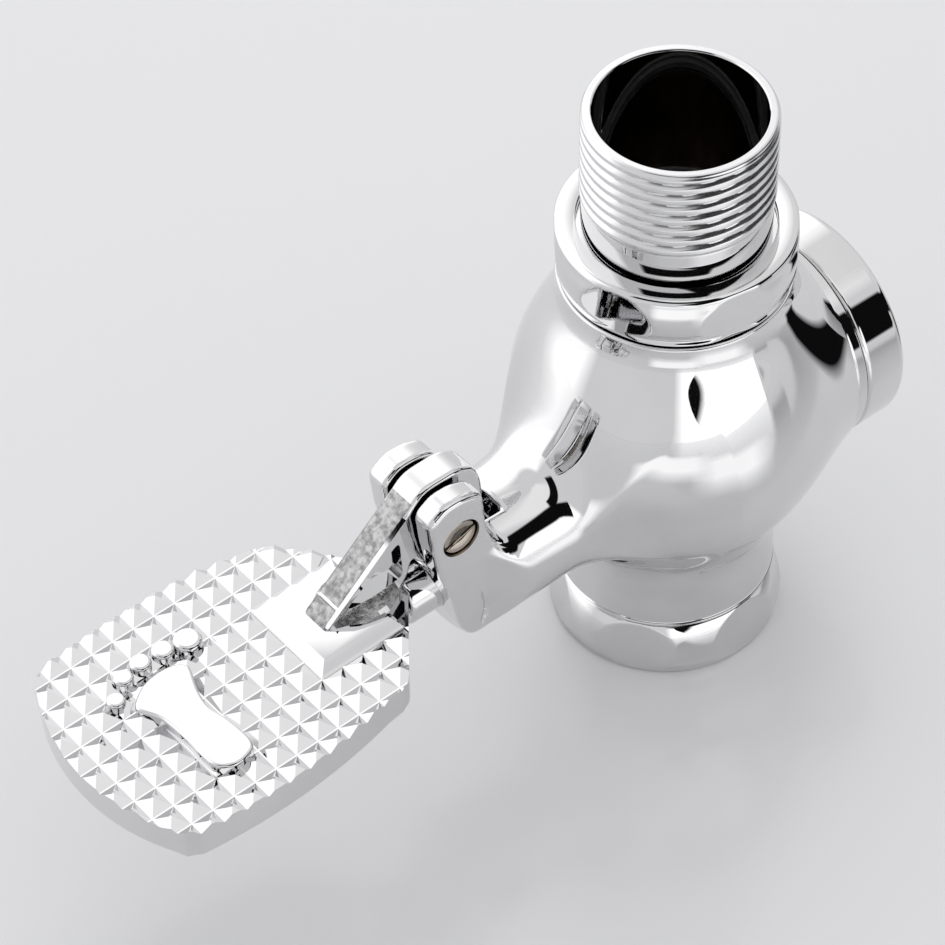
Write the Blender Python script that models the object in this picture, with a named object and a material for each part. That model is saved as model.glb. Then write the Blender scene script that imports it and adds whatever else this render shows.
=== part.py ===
"""Foot-pedal flush valve, in metres with +Z up.

The vertical pipe axis is the Z axis, and the outlet nut stands on z = 0. The pedal points to -Y, the rear
cap to +Y. The piston slides along Y in the middle of the body, and the push rod runs along Y below it.
"""

import math

import bmesh
import bpy
from mathutils import Matrix, Vector

MM = 0.001
GAP = 0.3 * MM  # between faces that touch
RUNNING = 0.06 * MM  # radial clearance of a sliding or turning fit

ROUND = 36  # sides of the large turned shapes
SMALL_ROUND = 24
TINY_ROUND = 16

# Heights on the pipe axis
OUTLET_NUT_TOP = 11.47 * MM
OUTLET_NUT_FLOOR = 2.0 * MM  # top of the lip that holds the slip ring
BODY_FOOT = 5.0 * MM
BEAD = 12.3 * MM  # the crest of the bead above the outlet thread
NECK_TOP = 22.5 * MM
COLLAR_BOTTOM = 77.9 * MM
COLLAR_TOP = 83.1 * MM
UNION_NUT_BOTTOM = 84.5 * MM
UNION_NUT_TOP = 94.46 * MM
SPIGOT_TOP = 89.6 * MM
TAIL_FOOT = 91.4 * MM
THREAD_BOTTOM = 100.8 * MM
INLET_TOP = 118.8 * MM

# Radii about the pipe axis
OUTLET_BORE_R = 14.0 * MM
INLET_PORT_R = 13.0 * MM
THROAT_R = 7.0 * MM
WATERWAY_R = 6.5 * MM
NECK_R = 19.6 * MM
COLLAR_R = 20.5 * MM
SPIGOT_R = 18.3 * MM
NUT_THREAD_R = SPIGOT_R + GAP
TAIL_BORE_R = 14.67 * MM
TAIL_R = 16.3 * MM
THREAD_CREST_R = 16.62 * MM
THREAD_ROOT_R = 15.75 * MM
THREAD_PITCH = 2.309 * MM

# Flats on the nuts lean in towards the foot
NUT_FLAT_TILT = math.radians(10)
UNION_FLAT_DISTANCE = 20.85 * MM
OUTLET_FLAT_DISTANCE = 20.9 * MM
UNION_FLAT_TURN = math.radians(-11)
OUTLET_FLAT_TURN = math.radians(4.5)

# Piston axis, along Y
PISTON_Z = 48.9 * MM
BOSS_R = 20.4 * MM
CAP_R = 20.8 * MM
CAP_FRONT = 28.54 * MM
CAP_BACK = 37.51 * MM
CAP_THREAD_R = 17.8 * MM
PISTON_BORE_R = 15.5 * MM
PISTON_BORE_FRONT = -4.9 * MM
SEAT_SHOULDER = -8.3 * MM
CHAMBER_FRONT = -20.0 * MM
CHAMBER_R = 11.5 * MM
SEAT_R = 13.8 * MM
CAP_THREAD_FRONT = 19.5 * MM

# Push rod axis, along Y
ROD_Z = 42.8 * MM
BUTTON_R = 5.4 * MM
BUTTON_FRONT = -62.4 * MM
BUTTON_BACK = -52.4 * MM
STEM_R = 2.2 * MM
STEM_TIP = -12.6 * MM
GLAND_FRONT = -38.4 * MM
GLAND_BACK = -28.0 * MM
GLAND_STEP = -27.7 * MM  # where the rod's bore narrows behind the gland
O_RING_FRONT = -30.4 * MM
O_RING_R = 4.2 * MM

# Fork and hinge
HINGE_Y = -54.4 * MM
HINGE_Z = 59.7 * MM
EAR_HALF = 8.8 * MM
SLOT_HALF = 3.8 * MM
SLOT_FLOOR = 48.5 * MM
SLOT_BACK = -43.9 * MM
PIN_R = 2.6 * MM
PIN_HEAD_R = 3.45 * MM
PIN_END = 8.35 * MM
PIN_HEAD_SEAT = 4.6 * MM
BEYOND = 80 * MM  # how far a cutter reaches past the part
FACE_FOOT_Z = 30.0 * MM  # the front face leans forward as it rises from here
FACE_LEAN = 0.235

# Pedal
HUB_HALF = 3.0 * MM
NOSE_HALF = 4.0 * MM
NOSE_R = 5.0 * MM
NOSE_BACK = -62.8 * MM
PLATE_TOP = 47.6 * MM
PLATE_THICK = 6.0 * MM
PLATE_TILT = math.radians(1.55)
PLATE_PIVOT_Y = -90.0 * MM
PLATE_FRONT_ARC = (-88.2 * MM, 40.0 * MM)  # centre y, radius
PLATE_SIDE_ARC = (-85.5 * MM, -104.0 * MM, 109.0 * MM)  # centre x, centre y, radius
PAD_HALF = 9.85 * MM
PAD_RISE = 1.2 * MM


def mm(*points):
    """Millimetre pairs or triples as metres."""
    return [tuple(value * MM for value in point) for point in points]


# Materials

def finish(name, colour, metallic, roughness):
    made = bpy.data.materials.new(name)
    made.use_nodes = True
    shader = made.node_tree.nodes["Principled BSDF"]
    shader.inputs["Base Color"].default_value = (*colour, 1)
    shader.inputs["Metallic"].default_value = metallic
    shader.inputs["Roughness"].default_value = roughness
    made.diffuse_color = (*colour, 1)
    return made


# Outlines

def smooth_curve(points, steps):
    """Points along a Catmull-Rom curve through the given ones."""
    ends = [points[0], *points, points[-1]]
    curve = []
    for a, b, c, d in zip(ends, ends[1:], ends[2:], ends[3:]):
        a, b, c, d = Vector(a), Vector(b), Vector(c), Vector(d)
        for step in range(steps):
            t = step / steps
            place = 2 * b + (c - a) * t + (2 * a - 5 * b + 4 * c - d) * t**2 + (3 * b - a - 3 * c + d) * t**3
            curve.append(tuple(place / 2))
    return [*curve, tuple(points[-1])]


def arc(centre, radius, start, end, steps):
    """Points on a circle, with the angles in degrees from the first axis."""
    angles = [math.radians(start + (end - start) * i / steps) for i in range(steps + 1)]
    return [(centre[0] + radius * math.cos(a), centre[1] + radius * math.sin(a)) for a in angles]


def rounded(points, radius, steps=3):
    """A closed outline with each corner cut by a curve that starts at most `radius` from it."""
    outline = []
    for before, corner, after in zip([points[-1], *points], points, [*points[1:], points[0]]):
        corner = Vector(corner)
        to_before, to_after = Vector(before) - corner, Vector(after) - corner
        start = corner + to_before * min(radius / to_before.length, 0.45)
        end = corner + to_after * min(radius / to_after.length, 0.45)
        for i in range(steps + 1):
            t = i / steps
            outline.append(tuple(start * (1 - t) ** 2 + corner * 2 * t * (1 - t) + end * t**2))
    return outline


def inset(points, distance):
    """A closed outline moved inwards by `distance`."""
    area = sum(a[0] * b[1] - b[0] * a[1] for a, b in zip(points, [*points[1:], points[0]]))
    side = 1 if area > 0 else -1
    moved = []
    for before, here, after in zip([points[-1], *points], points, [*points[1:], points[0]]):
        first = (Vector(here) - Vector(before)).normalized()
        second = (Vector(after) - Vector(here)).normalized()
        inward = (first + second).orthogonal().normalized() * side
        lean = max(inward.dot(first.orthogonal()) * side, 0.5)
        moved.append(tuple(Vector(here) + inward * distance / lean))
    return moved


# Meshes

def closed(mesh):
    bmesh.ops.remove_doubles(mesh, verts=mesh.verts, dist=1e-7)
    bmesh.ops.recalc_face_normals(mesh, faces=mesh.faces)
    bmesh.ops.triangulate(mesh, faces=mesh.faces)
    return mesh


def skin(rings, loop):
    """A mesh over rings of points, where one point is a pole. `loop` joins the last ring to the first."""
    mesh = bmesh.new()
    rows = [[mesh.verts.new(point) for point in ring] for ring in rings]
    pairs = list(zip(rows, rows[1:])) + ([(rows[-1], rows[0])] if loop else [])
    for low, high in pairs:
        count = max(len(low), len(high))
        for i in range(count):
            j = (i + 1) % count
            corners = [low[i % len(low)], low[j % len(low)], high[j % len(high)], high[i % len(high)]]
            mesh.faces.new(list(dict.fromkeys(corners)))
    if not loop:
        for row in (rows[0], rows[-1]):
            if len(row) > 2:
                mesh.faces.new(row)
    return closed(mesh)


def turned(profile, sides):
    """A solid turned about local Z from (radius, height) pairs. It is a ring unless an end is at 0."""
    rings = []
    for radius, height in profile:
        if radius == 0:
            rings.append([(0, 0, height)])
            continue
        turns = [2 * math.pi * i / sides for i in range(sides)]
        rings.append([(radius * math.cos(a), radius * math.sin(a), height) for a in turns])
    return skin(rings, loop=all(radius > 0 for radius, _ in profile))


def lofted(stations, sides, end_lean):
    """Circles along Y at (y, centre z, radius). With `end_lean` the last two follow the front face."""
    rings = []
    for number, (y, centre_z, radius) in enumerate(stations):
        leans = end_lean and number >= len(stations) - 2
        ring = []
        for i in range(sides):
            a = 2 * math.pi * i / sides
            x, z = radius * math.cos(a), centre_z + radius * math.sin(a)
            ring.append((x, y - FACE_LEAN * (z - FACE_FOOT_Z) if leans else y, z))
        rings.append(ring)
    return skin(rings, loop=False)


def slab(outline, low, high, bevel=0.0, axis="X"):
    """An outline in the plane across `axis`, thickened from `low` to `high`, with bevelled edges."""
    layers = [(low, 0), (high, 0)]
    if bevel:
        layers = [(low, bevel), (low + bevel, 0), (high - bevel, 0), (high, bevel)]
    rings = []
    for level, inward in layers:
        shape = inset(outline, inward) if inward else outline
        rings.append([(level, a, b) if axis == "X" else (a, b, level) for a, b in shape])
    return skin(rings, loop=False)


def block(low, high):
    outline = [(low[0], low[1]), (high[0], low[1]), (high[0], high[1]), (low[0], high[1])]
    return slab(outline, low[2], high[2], axis="Z")


def threaded_tube(rest, low, high, sides):
    """A tube with an outer helical thread from `low` to `high`. `rest` is the profile from the thread's top
    end over the rim, down the bore and back up to the thread's foot."""
    mesh = bmesh.new()
    turns = math.ceil((high - low) / THREAD_PITCH) + 2
    shape = [(0.0, THREAD_ROOT_R), (0.38, THREAD_CREST_R), (0.62, THREAD_CREST_R)]

    def column(step):
        points = []
        for turn in range(-1, turns):
            for part, radius in shape:
                height = low + THREAD_PITCH * (turn + part + step / sides)
                if height <= low or height >= high:
                    radius, height = TAIL_R, min(max(height, low), high)
                points.append((radius, height))
        return [*points, *rest]

    def ring_point(step, radius, height):
        a = 2 * math.pi * step / sides
        return mesh.verts.new((radius * math.cos(a), radius * math.sin(a), height))

    columns = [[ring_point(step, *point) for point in column(step)] for step in range(sides)]
    last = [ring_point(0, *point) for point in column(sides)]
    rows = len(last)
    for left, right in zip(columns, [*columns[1:], last]):
        for i in range(rows):
            j = (i + 1) % rows
            mesh.faces.new([left[i], right[i], right[j], left[j]])
    return closed(mesh)


def coil(radius, wire, start, end, turns):
    """A spring wound about the local Z axis."""
    sides, steps = 4, 12
    count = round(turns * steps)
    rings = []
    for i in range(count + 1):
        a = 2 * math.pi * i / steps
        height = start + wire + (end - start - 2 * wire) * i / count
        out = Vector((math.cos(a), math.sin(a), 0))
        centre = out * radius + Vector((0, 0, height))
        up = Vector((0, 0, 1))
        around = [2 * math.pi * k / sides for k in range(sides)]
        rings.append([centre + (out * math.cos(b) + up * math.sin(b)) * wire for b in around])
    return skin(rings, loop=False)


def hoop(radius, wire, height, sides=SMALL_ROUND):
    """The profile of an O-ring."""
    return turned(arc((radius, height), wire, 0, 315, 7), sides)


# Objects

def thing(name, mesh, material=None, location=(0, 0, 0), rotation=(0, 0, 0)):
    data = bpy.data.meshes.new(name)
    mesh.to_mesh(data)
    mesh.free()
    data.shade_smooth()
    data.set_sharp_from_angle(angle=math.radians(30))
    made = bpy.data.objects.new(name, data)
    made.location, made.rotation_euler = location, rotation
    bpy.context.scene.collection.objects.link(made)
    if material:
        data.materials.append(material)
    else:
        made.hide_render = True
        made.display_type = "WIRE"
    return made


def along_y(name, mesh, material=None, height=PISTON_Z, y=0.0):
    """Places a shape whose local Z axis becomes +Y."""
    return thing(name, mesh, material, (0, y, height), (-math.pi / 2, 0, 0))


def along_x(name, mesh, material=None):
    """Places a shape whose local Z axis becomes +X, through the hinge."""
    return thing(name, mesh, material, (0, HINGE_Y, HINGE_Z), (0, math.pi / 2, 0))


def boolean(target, other, operation):
    modifier = target.modifiers.new(other.name, "BOOLEAN")
    modifier.object, modifier.operation, modifier.solver = other, operation, "MANIFOLD"


def cut(target, *cutters):
    for cutter in cutters:
        boolean(target, cutter, "DIFFERENCE")


def join(target, *others):
    for other in others:
        boolean(target, other, "UNION")


def mirrored(mesh):
    """Adds the mirror image across X."""
    copy = bmesh.ops.duplicate(mesh, geom=mesh.verts[:] + mesh.edges[:] + mesh.faces[:])["geom"]
    moved = [part for part in copy if isinstance(part, bmesh.types.BMVert)]
    bmesh.ops.transform(mesh, matrix=Matrix.Scale(-1, 4, (1, 0, 0)), verts=moved)
    bmesh.ops.recalc_face_normals(mesh, faces=mesh.faces)
    return mesh


# Body

def vertical_shell():
    """Outlet neck, globe, collar and inlet spigot, turned in one."""
    foot = [(0, BODY_FOOT), (SPIGOT_R, BODY_FOOT), (SPIGOT_R, BEAD - 0.4 * MM)]
    bead_edge = NECK_R - 0.1 * MM
    bead = [(bead_edge, BEAD - 0.4 * MM), (NECK_R + 0.3 * MM, BEAD), (bead_edge, BEAD + 0.5 * MM)]
    sides = mm((22.0, 30), (25.0, 36), (27.4, 42.3), (28.65, 53.8), (26.4, 64.9), (22.8, 73.3))
    globe = smooth_curve([(NECK_R, NECK_TOP), *sides, (COLLAR_R, COLLAR_BOTTOM)], 3)
    spigot = [(COLLAR_R, COLLAR_TOP), (SPIGOT_R, COLLAR_TOP), (SPIGOT_R, SPIGOT_TOP), (0, SPIGOT_TOP)]
    return [*foot, *bead, (NECK_R + 0.2 * MM, BEAD + 1.1 * MM), *globe, *spigot]


def boss_profile():
    """A cylinder with a narrow groove before its end ring."""
    groove = mm((19.9, 25.2), (19.9, 25.6))
    end = CAP_FRONT - GAP
    ring = [(BOSS_R + GAP, 25.9 * MM), (BOSS_R + GAP, end), (0, end)]
    return [(0, 2 * MM), (BOSS_R, 2 * MM), (BOSS_R, 24.9 * MM), *groove, *ring]


def neck_stations():
    body_end = mm((-10, 46.7, 14.6), (-23, 46.5, 14.0), (-27, 44.7, 13.0), (-31, 43.2, 12.3))
    return [*body_end, *mm((-44, 42.8, 12.3), (-49, 42.8, 12.8), (-51.9, 42.8, 13.4), (-52.7, 42.8, 12.6))]


def ear_outline():
    front = mm((-55.3, 40.5), (-56.2, 46.2), (-58.7, 52.3), (-60.1, 59), (-60.8, 66.2))
    back = mm((-49.4, 67.4), (-48.6, 58.5), (-46.2, 52.2), (-42.5, 47.5), (-42.5, 40.5))
    return rounded([*front, *mm((-57.6, 68.9), (-53.5, 68.9)), *back], 1.6 * MM, 2)


def pocket_outline():
    """What is milled away beside the ears, so that their outer faces are flat."""
    floor = mm((-49.0, 34.4), (-49.2, 41.5), (-43.9, 50), (-43.9, 80))
    return rounded([(-75 * MM, 34.4 * MM), *floor, (-75 * MM, 80 * MM)], 2.6 * MM)


def make_body(material):
    body = thing("valve_body", turned(vertical_shell(), ROUND), material)
    boss = along_y("boss", turned(boss_profile(), ROUND))
    neck = thing("neck", lofted(neck_stations(), ROUND, end_lean=True))
    ears = thing("ears", slab(ear_outline(), -EAR_HALF, EAR_HALF, 0.8 * MM))
    join(body, boss, neck, ears)

    pockets = thing("ear_sides", mirrored(slab(pocket_outline(), EAR_HALF, 25 * MM)))
    slot = thing("fork_slot", block((-SLOT_HALF, -BEYOND, SLOT_FLOOR), (SLOT_HALF, SLOT_BACK, BEYOND)))
    cut(body, pockets, slot)
    cut(body, *port_cutters())
    cut(body, *bore_cutters())


def port_cutters():
    """The water's way in, down to the piston chamber, and on to the outlet."""
    inlet = [(0, 68 * MM), (INLET_PORT_R, 68 * MM), (INLET_PORT_R, 100 * MM), (0, 100 * MM)]
    throat = [(0, 50 * MM), (THROAT_R, 50 * MM), (THROAT_R, 69 * MM), (0, 69 * MM)]
    outlet = [
        (0, 3.9 * MM),
        (17.8 * MM, 3.9 * MM),
        (OUTLET_BORE_R, 8.4 * MM),
        (OUTLET_BORE_R, 22 * MM),
        (11 * MM, 25.5 * MM),
        (0, 27 * MM),
    ]
    waterway = [(0, 20 * MM), (WATERWAY_R, 20 * MM), (WATERWAY_R, 44 * MM), (0, 44 * MM)]
    return [
        thing("inlet_port", turned(inlet, ROUND)),
        thing("throat", turned(throat, SMALL_ROUND), location=(0, 3 * MM, 0)),
        thing("outlet_port", turned(outlet, ROUND)),
        thing("waterway", turned(waterway, SMALL_ROUND), location=(0, -13 * MM, 0)),
    ]


def bore_cutters():
    """The piston's and the push rod's stepped bores, and the hinge pin's hole."""
    piston_bore = [
        (0, CHAMBER_FRONT),
        (CHAMBER_R, CHAMBER_FRONT),
        (CHAMBER_R, SEAT_SHOULDER),
        (SEAT_R, SEAT_SHOULDER),
        (SEAT_R, PISTON_BORE_FRONT),
        (PISTON_BORE_R, PISTON_BORE_FRONT),
        (PISTON_BORE_R, CAP_THREAD_FRONT),
        (CAP_THREAD_R, CAP_THREAD_FRONT),
        (CAP_THREAD_R, BEYOND),
        (0, BEYOND),
    ]
    rod_bore = [
        (0, -BEYOND),
        (BUTTON_R + RUNNING, -BEYOND),
        (BUTTON_R + RUNNING, GLAND_STEP),
        (O_RING_R, GLAND_STEP),
        (O_RING_R, -19 * MM),
        (0, -19 * MM),
    ]
    pin_hole = [
        (0, -20 * MM),
        (PIN_R + GAP, -20 * MM),
        (PIN_R + GAP, PIN_HEAD_SEAT),
        (PIN_HEAD_R + GAP, PIN_HEAD_SEAT),
        (PIN_HEAD_R + GAP, 20 * MM),
        (0, 20 * MM),
    ]
    return [
        along_y("piston_bore", turned(piston_bore, ROUND)),
        along_y("rod_bore", turned(rod_bore, SMALL_ROUND), height=ROD_Z),
        along_x("pin_hole", turned(pin_hole, TINY_ROUND)),
    ]


# Nuts, tail and cap

def with_flats(mesh, distance, level, turn):
    """Trims six leaning flats, each `distance` from the axis at height `level`."""
    for number in range(6):
        angle = turn + number * math.pi / 3
        out = Vector((math.cos(angle), math.sin(angle), 0))
        normal = out * math.cos(NUT_FLAT_TILT) - Vector((0, 0, math.sin(NUT_FLAT_TILT)))
        place = out * distance + Vector((0, 0, level))
        parts = mesh.verts[:] + mesh.edges[:] + mesh.faces[:]
        found = bmesh.ops.bisect_plane(mesh, geom=parts, plane_co=place, plane_no=normal, clear_outer=True)
        rim = [part for part in found["geom_cut"] if isinstance(part, bmesh.types.BMEdge)]
        bmesh.ops.edgeloop_fill(mesh, edges=rim)
    return closed(mesh)


def make_union_nut(material):
    lip = 1.26 * MM
    outside = mm((19.9, 84.5), (20.9, 84.9), (21.3, 86.2), (21.4, 88.5), (21.3, 93.4), (20.8, 94.46))
    profile = [
        *outside,
        (17.05 * MM, UNION_NUT_TOP),
        (17.05 * MM, UNION_NUT_TOP - lip),
        (NUT_THREAD_R, UNION_NUT_TOP - lip),
        (NUT_THREAD_R, UNION_NUT_BOTTOM),
    ]
    nut = with_flats(turned(profile, ROUND), UNION_FLAT_DISTANCE, UNION_NUT_TOP, UNION_FLAT_TURN)
    thing("inlet_union_nut", nut, material)


def make_outlet_nut(material):
    outside = mm((19.6, 0), (20.6, 0.5), (21.3, 2.2), (21.49, 4.5), (21.3, 7.0), (20.7, 9.6), (19.7, 11.2))
    profile = [
        *outside,
        (19.2 * MM, OUTLET_NUT_TOP),
        (NUT_THREAD_R, OUTLET_NUT_TOP),
        (NUT_THREAD_R, OUTLET_NUT_FLOOR),
        (15.2 * MM, OUTLET_NUT_FLOOR),
        (15.2 * MM, 0),
    ]
    nut = with_flats(turned(profile, ROUND), OUTLET_FLAT_DISTANCE, 9.6 * MM, OUTLET_FLAT_TURN)
    thing("outlet_nut", nut, material)


def make_inlet_tail(material):
    rest = [
        (16.0 * MM, INLET_TOP),
        (15.1 * MM, INLET_TOP),
        (TAIL_BORE_R, INLET_TOP - 0.5 * MM),
        (TAIL_BORE_R, TAIL_FOOT),
        (18.0 * MM, TAIL_FOOT),
        (18.0 * MM, TAIL_FOOT + 1.5 * MM),
        (TAIL_R, TAIL_FOOT + 1.5 * MM),
    ]
    thing("inlet_tail", threaded_tube(rest, THREAD_BOTTOM, INLET_TOP - 0.4 * MM, 36), material)


def make_cap(material):
    profile = [
        (0, 33 * MM),
        (13.5 * MM, 33 * MM),
        (13.5 * MM, 20.3 * MM),
        (17.5 * MM, 20.3 * MM),
        (17.5 * MM, 24.9 * MM),
        (15.9 * MM, 24.9 * MM),
        (15.9 * MM, 27.1 * MM),
        (17.5 * MM, 27.1 * MM),
        (17.5 * MM, CAP_FRONT),
        (CAP_R - 0.6 * MM, CAP_FRONT),
        (CAP_R, CAP_FRONT + 0.6 * MM),
        (CAP_R, CAP_BACK - 0.9 * MM),
        (CAP_R - 0.9 * MM, CAP_BACK),
        (0, CAP_BACK),
    ]
    cap = along_y("rear_cap", turned(profile, ROUND), material)
    across_flats = 12 * MM
    corner_r = across_flats / math.sqrt(3)
    hexagon = [(0, 34.4 * MM), (corner_r, 34.4 * MM), (corner_r, 50 * MM), (0, 50 * MM)]
    cut(cap, along_y("key_socket", turned(hexagon, 6)))


# Seals

def make_seals(rubber, plastic):
    washer = mm((13.5, 89.9), (18.0, 89.9), (18.0, 91.1), (13.5, 91.1))
    seal = mm((14.3, 3.4), (18.2, 3.4), (18.2, 4.7), (16.4, 4.7), (14.6, 6.9), (14.3, 6.9))
    slip_ring = mm((15.2, 2.3), (18.2, 2.3), (18.2, 3.1), (15.2, 3.1))
    thing("inlet_washer", turned(washer, SMALL_ROUND), rubber)
    thing("outlet_seal", turned(seal, SMALL_ROUND), rubber)
    thing("outlet_slip_ring", turned(slip_ring, SMALL_ROUND), plastic)
    along_y("cap_o_ring", hoop(16.85 * MM, 0.7 * MM, 26.0 * MM), rubber)
    along_y("rod_o_ring", hoop(3.2 * MM, 0.65 * MM, -29.2 * MM, TINY_ROUND), rubber, ROD_Z)


# Main valve

def make_main_valve(brass, rubber, steel):
    seat = mm((9, -8.0), (13.5, -8.0), (13.5, -5.3), (10.6, -5.3), (10.2, -4.6), (9.4, -4.6), (9, -5.0))
    along_y("seat_ring", turned(seat, SMALL_ROUND), brass)

    piston = [
        *mm((5.3, -2.0), (12.2, -2.0), (12.2, 9.5)),
        (PISTON_BORE_R - RUNNING, 9.5 * MM),
        (PISTON_BORE_R - RUNNING, 11.6 * MM),
        *mm((13.6, 11.6), (13.6, 14.4)),
        (PISTON_BORE_R - RUNNING, 14.4 * MM),
        (PISTON_BORE_R - RUNNING, 16 * MM),
        *mm((11.5, 16), (11.5, 10.6), (7.0, 10.6), (7.0, 5.9), (3.5, 5.9), (3.5, 4.3), (5.3, 4.3)),
    ]
    along_y("piston", turned(piston, ROUND), brass)
    cup = mm((13.9, 11.9), (14.9, 11.9), (15.3, 14.1), (13.9, 14.1))
    along_y("piston_cup", turned(cup, SMALL_ROUND), rubber)
    disc = mm((5.3, -4.3), (12.0, -4.3), (12.0, -2.3), (5.3, -2.3))
    along_y("seat_disc", turned(disc, SMALL_ROUND), rubber)
    retainer = mm((3.3, -6.0), (7.0, -6.0), (7.5, -5.5), (7.5, -4.6), (5.0, -4.6), (5.0, 4.0), (3.3, 4.0))
    along_y("disc_retainer", turned(retainer, TINY_ROUND), brass)
    along_y("piston_spring", coil(9.8 * MM, 0.6 * MM, 10.9 * MM, 32.7 * MM, 5), steel)


def make_pilot(brass, rubber, steel):
    stem = mm((0, -12.3), (7.9, -12.3), (8.5, -11.9), (8.5, -10.8), (2.0, -10.8), (2.0, 9.7), (0, 9.7))
    along_y("pilot_stem", turned(stem, TINY_ROUND), brass)
    washer = mm((2.3, 6.2), (5.4, 6.2), (5.4, 7.4), (2.3, 7.4))
    along_y("pilot_washer", turned(washer, TINY_ROUND), rubber)
    nut = mm((2.3, 7.7), (5.2, 7.7), (5.2, 9.6), (2.3, 9.6))
    along_y("pilot_nut", turned(nut, 6), brass)
    along_y("pilot_spring", coil(3.6 * MM, 0.4 * MM, 9.9 * MM, 32.7 * MM, 7), steel)


# Push rod

def make_push_rod(chrome, brass, steel):
    groove = mm((STEM_R / MM, -27.5), (1.5, -27.5), (1.5, -26.3), (STEM_R / MM, -26.3))
    rod = [
        (0, BUTTON_FRONT),
        (BUTTON_R - 0.9 * MM, BUTTON_FRONT),
        (BUTTON_R, BUTTON_FRONT + 0.7 * MM),
        (BUTTON_R, BUTTON_BACK),
        (STEM_R, BUTTON_BACK),
        *groove,
        (STEM_R, STEM_TIP - 0.5 * MM),
        (STEM_R - 0.5 * MM, STEM_TIP),
        (0, STEM_TIP),
    ]
    along_y("push_rod", turned(rod, SMALL_ROUND), chrome, ROD_Z)

    gland = [
        (STEM_R + RUNNING, GLAND_FRONT),
        (5.16 * MM, GLAND_FRONT),
        (5.16 * MM, GLAND_BACK),
        (4.15 * MM, GLAND_BACK),
        (4.15 * MM, O_RING_FRONT),
        (STEM_R + RUNNING, O_RING_FRONT),
    ]
    along_y("gland_nut", turned(gland, SMALL_ROUND), brass, ROD_Z)

    ring = turned(mm((1.8, -27.2), (3.6, -27.2), (3.6, -26.6), (1.8, -26.6)), TINY_ROUND)
    clip = along_y("rod_clip", ring, steel, ROD_Z)
    mouth = 1.3 * MM
    cut(clip, thing("clip_mouth", block((-mouth, -30 * MM, ROD_Z - 8 * MM), (mouth, -24 * MM, ROD_Z))))
    along_y("push_rod_spring", coil(3.9 * MM, 0.5 * MM, -52.1 * MM, -38.7 * MM, 5), steel, ROD_Z)


# Pedal

def both_sides(half):
    """An outline from the points of its +X half."""
    return [*half, *[(-x, y) for x, y in reversed(half)]]


def plate_outline():
    front_y, front_r = PLATE_FRONT_ARC
    side_x, side_y, side_r = PLATE_SIDE_ARC
    front = arc((0, front_y), front_r, -90, -60.5, 6)[1:]
    side = arc((side_x, side_y), side_r, -8.6, 12.6, 5)
    corner_front, corner_back = (21.2 * MM, -121.9 * MM), (20.3 * MM, -77.0 * MM)
    half = [*front, corner_front, *side, corner_back, *mm((19.3, -74.8), (4.5, -62.8))]
    return [(0, front_y - front_r), *both_sides(half)]


def lever_outline():
    """Hub, arm and web, seen from the side."""
    top = mm((-60.6, 66.2), (-58.6, 68.3), (-56.4, 69.0), (-50.2, 69.0), (-46.6, 67.0), (-45.3, 63.6))
    back = mm((-44.9, 60.0), (-45.3, 56.2), (-47.2, 53.0), (-50.4, 50.8), (-54.4, 50.0), (-58.6, 51.2))
    web = mm((-60.5, 54.0), (-61.4, 50.4), (-62.9, 48.6), (-64.5, 44.5), (-80.0, 44.5), (-79.6, 49.3))
    return [*top, *back, *web]


def make_pedal(material):
    lever = thing("foot_pedal", slab(lever_outline(), -HUB_HALF, HUB_HALF, 0.9 * MM), material)
    lever.data.transform(Matrix.Translation((0, -HINGE_Y, -HINGE_Z)))
    lever.location = (0, HINGE_Y, HINGE_Z)

    tilt = (PLATE_TILT, 0, 0)
    pivot = (0, PLATE_PIVOT_Y, PLATE_TOP)
    outline = [(x, y - PLATE_PIVOT_Y) for x, y in plate_outline()]
    plate = thing("plate", slab(outline, -PLATE_THICK, 0, 0.7 * MM, "Z"), None, pivot, tilt)

    low = [(-PAD_HALF, 4.5 * MM), (PAD_HALF, 4.5 * MM), (PAD_HALF, 22.0 * MM), (-PAD_HALF, 22.0 * MM)]
    high = mm((-7.4, 6.9), (7.4, 6.9), (7.4, 20.8), (-7.4, 20.8))
    rings = [[(x, y, z) for x, y in shape] for shape, z in ((low, -MM), (low, 0.1 * MM), (high, PAD_RISE))]
    pad = thing("pad", skin(rings, loop=False), None, pivot, tilt)

    flare = both_sides(mm((3.6, 12.4), (6.6, 17.0), (6.6, 22.0), (4.2, 26.0)))
    waist = both_sides(mm((2.6, 13.4), (2.8, 17.0), (2.8, 22.0), (2.8, 25.5)))
    layers = (flare, -MM), (flare, 1.8 * MM), (waist, 4.4 * MM)
    rings = [[(x, y, z) for x, y in shape] for shape, z in layers]
    foot = thing("arm_foot", skin(rings, loop=False), None, pivot, tilt)

    nose_y = NOSE_BACK - NOSE_R
    nose_outline = [*arc((nose_y, ROD_Z), NOSE_R, -90, 90, 8), *mm((-72, 47.0), (-74, 42.5), (-71, 38.2))]
    nose = thing("nose", slab(nose_outline, -NOSE_HALF, NOSE_HALF, 0.5 * MM))
    join(lever, plate, pad, foot, nose)

    pocket = rounded(mm((-63.2, 60.3), (-75.2, 51.2), (-62.6, 51.2)), 1.2 * MM, 2)
    hole_r = PIN_R + RUNNING
    hole = turned([(0, -9 * MM), (hole_r, -9 * MM), (hole_r, 9 * MM), (0, 9 * MM)], TINY_ROUND)
    cut(
        lever,
        thing("arm_pockets", mirrored(slab(pocket, 1.7 * MM, 9 * MM))),
        along_x("hinge_hole", hole),
    )


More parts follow.
